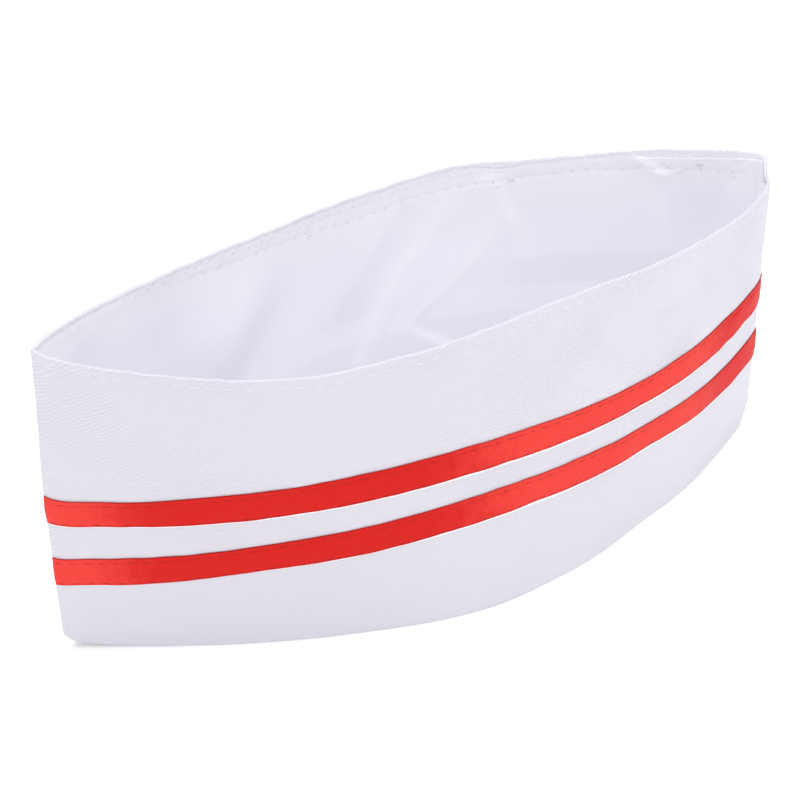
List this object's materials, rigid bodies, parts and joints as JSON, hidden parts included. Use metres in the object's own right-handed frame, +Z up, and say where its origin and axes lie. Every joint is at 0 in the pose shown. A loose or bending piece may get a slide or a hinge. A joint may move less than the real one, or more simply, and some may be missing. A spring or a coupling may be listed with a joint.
{
  "type": "chef hat",
  "caption": "Boat-shaped white chef's cap with red ribbons around its stiff sides and a soft crown inside, lying with its head opening up.",
  "frame": {"origin": "middle of the whole cap's bounding box, at the level of the folded edge it rests on", "axes": "+X from the left point to the right point, +Y towards the far side, +Z up through the head opening"},
  "size_m": [0.252, 0.0958, 0.1055],
  "materials": {
    "white_twill": "matte",
    "white_lawn": "matte",
    "red_satin": "satin"
  },
  "bodies": {
    "root": {"side_panel_near": "white_twill", "side_panel_far": "white_twill", "ribbon_upper_near": "red_satin", "ribbon_lower_near": "red_satin", "ribbon_upper_far": "red_satin", "ribbon_lower_far": "red_satin", "crown": "white_lawn"}
  },
  "joints": []
}
